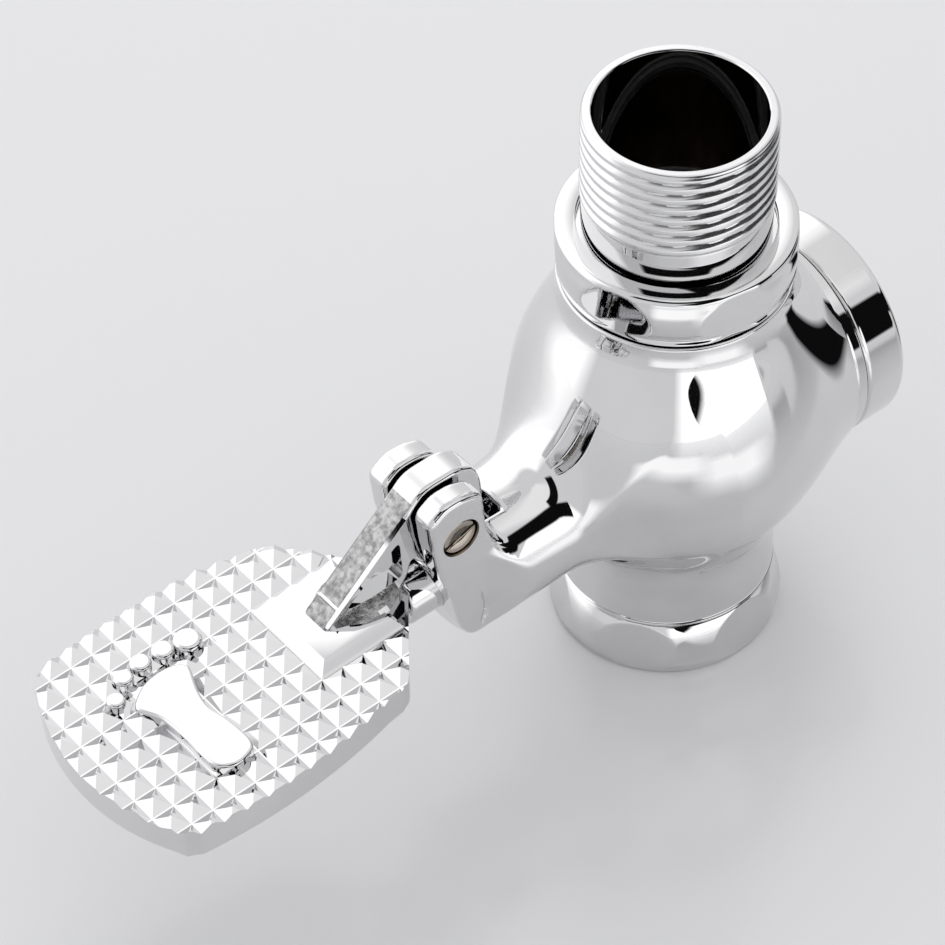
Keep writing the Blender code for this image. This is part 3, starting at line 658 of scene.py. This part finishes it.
def plate_outline():
    """The plate's edge, relative to the tread's middle."""
    front = circle((0, 1.8), 40, -89, -60.5, 16)
    corner = circle((17.75, -30.4), 3.9, -52, -6, 5)
    side = circle((-85.5, -14.0), 109, -8.6, 12.6, 18)
    return both_sides([*front[:-1], *corner[2:-1], *side, (20.5, 13.0), (19.6, 15.0), (18.4, 16.2), (4.5, 27.2)])


def tread():
    """Rows of pyramids with a narrow flat between them, over a block that reaches below the plate's top."""
    across, margin = 5, 0.13
    verts, faces, xs, ys = [], [], [], []
    for i in range(-across, across + 1):
        xs += [i * PITCH_X - margin, i * PITCH_X + margin]
    first_row = 4.5 + 6 * PITCH_Y
    for j in range(-2, 17):
        ys += [first_row - j * PITCH_Y - margin, first_row - j * PITCH_Y + margin]
    ys = sorted(ys)
    nx = len(xs)
    ny = len(ys)
    for y in ys:
        verts += [(x, y, 0.0) for x in xs]
    for row in range(ny - 1):
        for column in range(nx - 1):
            a = row * nx + column
            quad = [a, a + 1, a + nx + 1, a + nx]
            if row % 2 and column % 2:
                middle = np.mean([verts[k] for k in quad], 0)
                verts.append((middle[0], middle[1], TREAD_RISE))
                top = len(verts) - 1
                faces += [[quad[k], quad[(k + 1) % 4], top] for k in range(4)]
            else:
                faces.append(quad)
    base = len(verts)
    edge = [(c, 0) for c in range(nx)] + [(nx - 1, r) for r in range(1, ny)]
    edge += [(c, ny - 1) for c in range(nx - 2, -1, -1)] + [(0, r) for r in range(ny - 2, 0, -1)]
    rim = [r * nx + c for c, r in edge]
    verts += [(verts[k][0], verts[k][1], -2.0) for k in rim]
    for k in range(len(rim)):
        n = (k + 1) % len(rim)
        faces.append([rim[n], rim[k], base + k, base + n])
    faces.append([base + k for k in range(len(rim))][::-1])
    made = piece("tread", verts, faces, smooth=False)
    outward(made)
    made.data.set_sharp_from_angle(angle=math.radians(5))
    return made


def dome(name, outline, rise, edge, foot=-1.0):
    """A raised mark: an outline with a rounded shoulder up to a flat top."""
    layers = [(foot, 0), (rise - edge - 0.1, 0), (rise - edge, 0)]
    steps = 5
    for k in range(1, steps + 1):
        turn = math.radians(90 / steps * k)
        layers.append((rise - edge * (1 - math.sin(turn)), edge * (1 - math.cos(turn))))
    return slab(name, outline, layers, "Z")


def closed_curve(points, steps=6):
    """A smooth closed curve through the points."""
    out = []
    n = len(points)
    for i in range(n):
        a, b, c, d = (Vector(points[(i + k - 1) % n]) for k in range(4))
        for step in range(steps):
            t = step / steps
            place = 2 * b + (c - a) * t + (2 * a - 5 * b + 4 * c - d) * t**2
            place += (3 * b - a - 3 * c + d) * t**3
            out.append(tuple(place / 2))
    return out


def footprint():
    """A plain footprint across the plate: a sole and five toes."""
    sole = closed_curve([
        (-5.9, -11.5), (-4.7, -11.7), (-0.5, -13.4), (3.4, -14.1), (7.2, -13.4), (11.8, -13.0), (14.4, -13.4),
        (15.6, -15.0), (16.0, -18.0), (14.2, -20.8), (11.0, -21.3), (6.9, -21.2), (2.0, -21.5), (-0.6, -22.1),
        (-3.6, -23.6), (-5.4, -22.8), (-7.6, -19.2), (-8.0, -15.0), (-7.2, -12.5),
    ])
    rise = 2.1
    marks = [dome("sole", sole, rise, 0.55)]
    toes = [(-10.7, -8.1, 2.6), (-11.6, -12.6, 2.05), (-11.8, -17.1, 1.95), (-11.0, -21.2, 1.8),
            (-7.9, -25.0, 1.7)]
    for number, (x, y, r) in enumerate(toes):
        marks.append(dome(f"toe_{number + 1}", circle((x, y), r, 0, 345, 23), rise, 0.32 * r))
    return marks


def make_pedal(chrome, cast):
    """One casting: the plate with its tread, pad and footprint, the webbed arm, and the nose on the rod."""
    outline = plate_outline()
    under_edge = soft_layers(-PLATE_THICK, 0.9, 0.8)[:6]
    plate = slab("plate_body", outline, [*under_edge, (-0.6, 0)], "Z")
    top = combine(tread(), keep_inside=[slab("plate_edge", outline, [(-3, 0), (6, 0)], "Z")])
    pad_foot, pad_top = 9.85, 7.4
    pad_rows = [(pad_foot, 4.5, 22.0, -1.0), (pad_foot, 4.5, 22.0, 0.12), (pad_top, 6.9, 20.8, 1.2)]
    points = []
    for half, front, rear, z in pad_rows:
        points += [(-half, front, z), (half, front, z), (half, rear, z), (-half, rear, z)]
    pad = piece("pad", points, [*grid_faces(3, 4, False, True), [3, 2, 1, 0], [8, 9, 10, 11]])
    outward(pad)
    level = block("pad_floor", (-pad_foot - 0.15, 4.35, 0.0), (pad_foot + 0.15, 30, 6))
    combine(top, cuts=[level])

    flare = both_sides([(3.6, 12.4), (6.0, 16.6), (6.4, 20.0), (6.2, 22.0), (4.2, 26.0)])
    waist = both_sides([(2.6, 13.4), (2.8, 17.0), (2.8, 20.0), (2.8, 22.0), (2.8, 25.5)])
    count = len(flare)
    rows = [[(x, y, -1.0) for x, y in flare]]
    for share in np.linspace(0, 1, 8):
        z = 1.0 + 3.4 * share
        lean = (1 - share) ** 2.2
        row = []
        for a, b in zip(flare, waist):
            row.append((a[0] * lean + b[0] * (1 - lean), a[1] * lean + b[1] * (1 - lean), z))
        rows.append(row)
    faces = grid_faces(len(rows), count, False, True)
    faces.append(list(range(count)))
    faces.append([(len(rows) - 1) * count + k for k in range(count)])
    foot = piece("arm_foot", np.array(rows).reshape(-1, 3), faces)
    outward(foot)
    combine(plate, joins=[top, pad, foot, *footprint()])
    on_plate(plate)

    lever_top = [(-60.6, 66.2), (-58.6, 68.3), (-56.4, 69.0), (-50.2, 69.0), (-46.6, 67.0), (-45.3, 63.6)]
    back = [(-44.9, 60.0), (-45.3, 56.2), (-47.2, 53.0), (-50.4, 50.8), (-54.4, 50.0), (-58.6, 51.2)]
    web = [(-60.5, 54.0), (-61.4, 50.4), (-62.9, 48.6), (-64.5, 44.5), (-80.0, 44.5), (-79.6, 49.3)]
    lever = slab("lever", rounded([*lever_top, *back, *web], 1.4, 5), soft_layers(-3.0, 3.0, 0.8), "X")
    nose_y = -67.8
    nose_outline = [*circle((nose_y, ROD_Z), 5, -90, 90, 24), (-72, 47.0), (-74, 42.5), (-71, 38.2)]
    nose = slab("nose", nose_outline, soft_layers(-4.0, 4.0, 0.6), "X")
    combine(plate, joins=[lever, nose])

    pocket = rounded([(-63.2, 60.3), (-75.2, 51.2), (-62.6, 51.2)], 1.5, 5)
    web_half = 1.6
    bar = 0.75
    cutters = []
    for side in (-1, 1):
        low, high = sorted((web_half * side, 9 * side))
        cutters.append(slab(f"pocket_{side}", pocket, [(low, 0), (high, 0)], "X"))
        section = [(-bar, 0), (0, bar), (bar, 0), (0, -bar)]
        bevel = slab(f"arm_bevel_{side}", section, [(-11.5, 0), (11.5, 0)], "X")
        cutters.append(place_bevel(bevel, side))
    cutters.append(lathe("hinge_hole", [(2.66, -9), (2.66, 9)], 64, "X", HINGE, ring=False))
    combine(plate, cuts=cutters)
    plate.name = "tread_and_lever"
    set_face_normals(plate, 24)
    roughen(plate, chrome, cast)
    return plate


def roughen(lever, chrome, cast):
    """Leaves the arm's back and the web's foot as they came from the mould."""
    lever.data.materials.clear()
    for finish in (chrome, cast):
        lever.data.materials.append(finish)
    plate_top = 49.2
    along = Vector((0, -18.0, -16.0)).normalized()
    up = Vector((0, along.z, -along.y))
    for face in lever.data.polygons:
        middle = face.center / MM
        back = -80.5 < middle.y < -60.2 and face.normal.dot(up) > 0.93 and middle.z > plate_top
        near_web = -81 < middle.y < -62 and abs(middle.x) < 7
        foot = near_web and plate_top < middle.z < 51.6 and face.normal.z < 0.9
        face.material_index = int(back or foot)


def place_bevel(bevel, side):
    """Turns a square bar to run along the arm's top edge on one side, so that it cuts a 45 degree bevel."""
    start = Vector((0, -61.6, 65.3))
    end = Vector((0, -79.6, 49.3))
    along = (end - start).normalized()
    up = Vector((0, -along.z, along.y))
    if up.z < 0:
        up = -up
    across = Vector((side, 0, 0))
    middle = (start + end) / 2 + across * 3.05 + up * 0.05
    frame_of = Matrix((along, across, up)).transposed().to_4x4()
    bevel.data.transform(Matrix.Translation(middle * MM) @ frame_of)
    return bevel


# Springs

def coil(name, radius, wire, start, end, turns, height):
    """A round wire spring along Y, at a height, from its front to its rear end."""
    steps, sides = 32, 10
    count = int(turns * steps)
    share = np.linspace(0, 1, count + 1)
    turn = share * turns * 2 * math.pi
    along = start + wire + (end - start - 2 * wire) * share
    out = np.stack([np.cos(turn), np.zeros_like(turn), np.sin(turn)], -1)
    axis = np.stack([np.zeros_like(along), along, np.full_like(along, height)], -1)
    centre = axis + out * radius
    around = np.linspace(0, 2 * math.pi, sides, endpoint=False)
    side = np.array([0, 1.0, 0])
    section = out[:, None] * np.cos(around)[:, None] + side * np.sin(around)[:, None]
    rows = centre[:, None] + wire * section
    faces = grid_faces(count + 1, sides, False, True)
    faces += [list(range(sides))[::-1], [count * sides + k for k in range(sides)]]
    made = piece(name, rows.reshape(-1, 3), faces)
    outward(made)
    return made


# Materials

def metal(name, colours, roughness, grain, grain_height, scale=60.0):
    """A metal whose tint and roughness drift with a broad noise, over a fine grain of `grain_height` mm."""
    made = bpy.data.materials.new(name)
    made.use_nodes = True
    nodes, links = made.node_tree.nodes, made.node_tree.links
    shader = nodes["Principled BSDF"]
    shader.inputs["Metallic"].default_value = 1.0
    place = nodes.new("ShaderNodeTexCoord")
    noise = nodes.new("ShaderNodeTexNoise")
    noise.inputs["Scale"].default_value = scale
    noise.inputs["Detail"].default_value = 3.0
    links.new(place.outputs["Object"], noise.inputs["Vector"])
    ramp = nodes.new("ShaderNodeValToRGB")
    for element, position, colour in zip(ramp.color_ramp.elements, (0.35, 0.65), colours):
        element.position = position
        element.color = (*colour, 1)
    links.new(noise.outputs["Fac"], ramp.inputs["Fac"])
    links.new(ramp.outputs["Color"], shader.inputs["Base Color"])
    spread = nodes.new("ShaderNodeMapRange")
    spread.inputs["To Min"].default_value = roughness[0]
    spread.inputs["To Max"].default_value = roughness[1]
    links.new(noise.outputs["Fac"], spread.inputs["Value"])
    links.new(spread.outputs["Result"], shader.inputs["Roughness"])
    fine = nodes.new("ShaderNodeTexNoise")
    fine.inputs["Scale"].default_value = grain
    fine.inputs["Detail"].default_value = 4.0
    links.new(place.outputs["Object"], fine.inputs["Vector"])
    bump = nodes.new("ShaderNodeBump")
    bump.inputs["Strength"].default_value = 1.0
    bump.inputs["Distance"].default_value = grain_height * MM
    links.new(fine.outputs["Fac"], bump.inputs["Height"])
    links.new(bump.outputs["Normal"], shader.inputs["Normal"])
    return made


def moulded(name, colours, roughness):
    """Rubber or plastic, with the same kind of drift and grain."""
    made = metal(name, colours, roughness, 1500.0, 0.02, 200.0)
    made.node_tree.nodes["Principled BSDF"].inputs["Metallic"].default_value = 0.0
    return made


def main():
    """Makes every piece, puts it on its body, and finishes the CAD nodes that stay."""
    chrome = metal("polished_chrome", ((0.69, 0.69, 0.70), (0.73, 0.73, 0.735)), (0.015, 0.035), 220.0, 0.0006)
    cast = metal("cast_chrome", ((0.22, 0.22, 0.22), (0.48, 0.48, 0.48)), (0.2, 0.36), 1400.0, 0.12, 900.0)
    satin = metal("satin_chrome", ((0.70, 0.70, 0.71), (0.76, 0.76, 0.765)), (0.16, 0.24), 900.0, 0.004)
    raw = metal("raw_brass", ((0.10, 0.085, 0.07), (0.20, 0.16, 0.11)), (0.25, 0.4), 600.0, 0.02)
    brass = metal("turned_brass", ((0.34, 0.30, 0.26), (0.48, 0.43, 0.37)), (0.14, 0.26), 900.0, 0.01)
    steel = metal("spring_steel", ((0.50, 0.50, 0.51), (0.62, 0.62, 0.62)), (0.2, 0.32), 900.0, 0.01)
    rubber = moulded("black_rubber", ((0.018, 0.018, 0.018), (0.03, 0.03, 0.03)), (0.5, 0.7))
    plastic = moulded("slip_plastic", ((0.70, 0.70, 0.67), (0.78, 0.78, 0.75)), (0.3, 0.45))

    shown = [
        (make_body(chrome, raw), "housing", "valve_body", "polished_chrome", None),
        (make_union_nut(), "housing", "inlet_union_nut", "polished_chrome", chrome),
        (make_outlet_nut(), "housing", "outlet_nut", "polished_chrome", chrome),
        (make_tail(chrome, satin), "housing", "inlet_tail", "polished_chrome", None),
        (make_cap(), "housing", "rear_cap", "polished_chrome", chrome),
        (make_push_rod(), "rod", "push_rod", "polished_chrome", chrome),
        (make_pin(), "housing", "hinge_pin", "brass", brass),
        (make_pedal(chrome, cast), "pedal", "foot_pedal", "cast_chrome", None),
    ]
    # Springs, as (name, CAD node, the slide that shortens it and its longest travel, then what coil() takes)
    springs = (
        ("plunger_spring", "push_rod_spring", "rod_slide", 4.7, (3.9, 0.5, -52.1, -38.7, 5, ROD_Z)),
        ("cup_spring", "piston_spring", "piston_slide", 3.6, (9.8, 0.6, 10.9, 32.7, 5, PISTON_Z)),
        ("stem_spring", "pilot_spring", "pilot_slide", 4.7, (3.6, 0.4, 9.9, 32.7, 7, PISTON_Z)),
    )
    for name, node, _, _, shape in springs:
        shown.append((coil(name, *shape), "housing", node, "spring_steel", steel))
    for made, body, node, slot, material in shown:
        if material:
            made.data.materials.clear()
            made.data.materials.append(material)
        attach(made, body)
        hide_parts(node)

    # Each spring gets a mesh of its own.
    for name, _, joint, travel, (_, _, start, end, _, height) in springs:
        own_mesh(bpy.data.objects[name])

    finishes = {
        rubber: ("inlet_washer", "outlet_seal", "cap_o_ring", "piston_cup", "seat_disc", "pilot_washer",
                 "rod_o_ring"),
        brass: ("seat_ring", "piston", "disc_retainer", "pilot_stem", "pilot_nut", "gland_nut"),
        steel: ("rod_clip",),
        plastic: ("outlet_slip_ring",),
    }
    for material, nodes in finishes.items():
        for node in nodes:
            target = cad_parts[node]
            target.data.materials.clear()
            target.data.materials.append(material)


# Studio

def camera_at():
    """A long lens, looking down at the valve from its right and front."""
    turn, rise, roll = (math.radians(a) for a in (CAMERA_TURN, CAMERA_RISE, CAMERA_ROLL))
    look = Vector((-math.sin(turn) * math.cos(rise), math.cos(turn) * math.cos(rise), -math.sin(rise)))
    right = Vector((math.cos(turn), math.sin(turn), 0))
    up = right.cross(look)
    right, up = right * math.cos(roll) + up * math.sin(roll), up * math.cos(roll) - right * math.sin(roll)
    aim = Vector((0, 0, AIM_HEIGHT)) - AIM_LEFT * right - AIM_DOWN * up
    place = (aim - CAMERA_DISTANCE * look) * MM
    data = bpy.data.cameras.new("camera")
    data.sensor_width = SENSOR_WIDTH
    data.lens = SENSOR_WIDTH * FOCAL_PIXELS / PICTURE_PIXELS
    data.clip_start = 0.01
    data.clip_end = 50
    made = bpy.data.objects.new("camera", data)
    bpy.context.scene.collection.objects.link(made)
    turned = Matrix((right, up, -look)).transposed().to_4x4()
    made.matrix_world = Matrix.Translation(place) @ turned
    bpy.context.scene.camera = made


def glow(name, brightness):
    """A bright material that fades where the mesh's "fade" value falls to 0."""
    material = bpy.data.materials.new(name)
    material.use_nodes = True
    nodes, links = material.node_tree.nodes, material.node_tree.links
    nodes.remove(nodes["Principled BSDF"])
    emission = nodes.new("ShaderNodeEmission")
    clear = nodes.new("ShaderNodeBsdfTransparent")
    mix = nodes.new("ShaderNodeMixShader")
    emission.inputs["Color"].default_value = (brightness, brightness, brightness, 1)
    fade = nodes.new("ShaderNodeAttribute")
    fade.attribute_name = "fade"
    links.new(fade.outputs["Fac"], mix.inputs["Fac"])
    links.new(clear.outputs["BSDF"], mix.inputs[1])
    links.new(emission.outputs["Emission"], mix.inputs[2])
    links.new(mix.outputs["Shader"], nodes["Material Output"].inputs["Surface"])
    return material


def sheet(name, rows, brightness, soft):
    """A studio card that only reflections see. `soft` is the share of its size over which its first column, last
    column, first row and last row fade."""
    count, width = rows.shape[:2]
    made = piece(name, rows.reshape(-1, 3), grid_faces(count, width, False, False))
    down, along = np.meshgrid(np.linspace(0, 1, count), np.linspace(0, 1, width), indexing="ij")
    fade = np.ones_like(down)
    for share, edge in zip(soft, (along, 1 - along, down, 1 - down)):
        if share:
            fade = fade * np.clip(edge / share, 0, 1)
    made.data.attributes.new("fade", "FLOAT", "POINT").data.foreach_set("value", fade.ravel())
    made.data.materials.append(glow(name, brightness))
    made.visible_camera = False
    made.visible_diffuse = False
    made.visible_shadow = False
    made.visible_transmission = False


def on_sky(turns, heights, distance):
    """Points around the valve. `turns` run from +Y towards +X, and `heights` up from level, in degrees."""
    turns, heights = np.radians(turns), np.radians(heights)
    level = np.cos(heights)
    spots = np.stack([np.sin(turns) * level, np.cos(turns) * level, np.sin(heights)], -1)
    return spots * distance + np.array(STUDIO_CENTRE)


def card(name, bearings, rises, brightness, distance=1500, soft=(0, 0, 0, 0)):
    """A curved card between two bearings and two rises."""
    heights, turns = np.meshgrid(np.linspace(*rises, 21), np.linspace(*bearings, 31), indexing="ij")
    sheet(name, on_sky(turns, heights, distance), brightness, soft)


def arch(name, half_widths, brightness, distance=1400):
    """A dark arch, as of the opening of a light tent, along (bearing, rise) in degrees. It has the first of
    `half_widths` up to the first bearing of `widens_between`, and the second from the second on."""
    path = [(2, -32), (4, -18), (8, -6), (20, 4), (36, 15), (50, 23), (62, 30), (76, 34), (90, 34.5), (103, 30),
            (114, 22), (122, 14)]
    widens_between = (45, 75)
    spots = np.array(path, float)
    slope = np.gradient(spots, axis=0)
    across = np.stack([-slope[:, 1], slope[:, 0]], 1)
    across /= np.linalg.norm(across, axis=1)[:, None]
    across *= np.interp(spots[:, 0], widens_between, half_widths)[:, None]
    edges = np.stack([spots + across * share for share in np.linspace(-1, 1, 9)])
    sheet(name, on_sky(edges[..., 0], edges[..., 1], distance), brightness, (0, 0, 0.12, 0.12))


def floor_card(name, bearings, distances, brightness, height, soft):
    """A card that lies just over the floor, between two bearings and two distances from the valve's axis."""
    turns = np.radians(np.linspace(*bearings, 31))
    reach, turns = np.meshgrid(np.linspace(*distances, 21), turns, indexing="ij")
    rows = np.stack([np.sin(turns) * reach, np.cos(turns) * reach, np.full_like(reach, height)], -1)
    sheet(name, rows, brightness, soft)


def make_studio():
    """A pale world and floor with one soft light. The cards give the chrome its bright and dark bands."""
    bpy.context.scene.view_settings.view_transform = "Standard"
    world = bpy.data.worlds.new("studio")
    bpy.context.scene.world = world
    world.use_nodes = True
    world.node_tree.nodes["Background"].inputs["Color"].default_value = (0.81, 0.81, 0.82, 1)

    card("left_softbox", (-165, -36), (-2.1, 64), 1.5, 1700, (0.1, 0.12, 0, 0.15))
    card("back_softbox", (-46, 34), (8, 72), 0.9, 1750, (0, 0.15, 0.2, 0.15))
    card("upper_softbox", (20, 165), (40, 88), 1.05, 1750, (0.15, 0.15, 0.15, 0.1))
    card("right_softbox", (62, 130), (-2.1, 26), 1.5, 1700, (0, 0.1, 0, 0.1))
    card("far_flag", (46, 61), (1, 24), DARK, soft=(0.1, 0.1, 0.1, 0))
    arch("arch_flag", (9, 14), DARK)
    card("camera_flag", (84, 176), (39, 57), DARK, soft=(0.05, 0.05, 0.1, 0.1))
    floor_card("left_glow", (-165, -50), (300, 1700), 1.4, 0.8, (0.15, 0.15, 0.2, 0))
    floor_card("right_glow", (66, 120), (90, 330), 1.3, 0.8, (0.25, 0.3, 0.25, 0.35))
    floor_card("front_glow", (104, 152), (140, 420), 1.3, 1.0, (0.25, 0.15, 0.25, 0.3))
    floor_card("back_flag", (5, 22), (120, 420), DARK, 1.2, (0.2, 0.2, 0.1, 0))

    light = bpy.data.lights.new("key", "AREA")
    light.size = 1.2
    light.energy = 5.0
    key = bpy.data.objects.new("key", light)
    bpy.context.scene.collection.objects.link(key)
    key_turn = Vector((-0.9, 0.8, 1.4)).to_track_quat("Z", "Y").to_matrix().to_4x4()
    key.matrix_world = Matrix.Translation((-0.9, 0.9, 1.4)) @ key_turn
    key.visible_glossy = False

    far = FLOOR_HALF
    floor = piece("floor", [(-far, -far, 0), (far, -far, 0), (far, far, 0), (-far, far, 0)], [[0, 1, 2, 3]])
    material = bpy.data.materials.new("pale_floor")
    material.use_nodes = True
    shader = material.node_tree.nodes["Principled BSDF"]
    shader.inputs["Base Color"].default_value = (0.82, 0.82, 0.83, 1)
    shader.inputs["Roughness"].default_value = 0.15
    shader.inputs["Specular IOR Level"].default_value = 0.4
    floor.data.materials.append(material)


main()
camera_at()
make_studio()
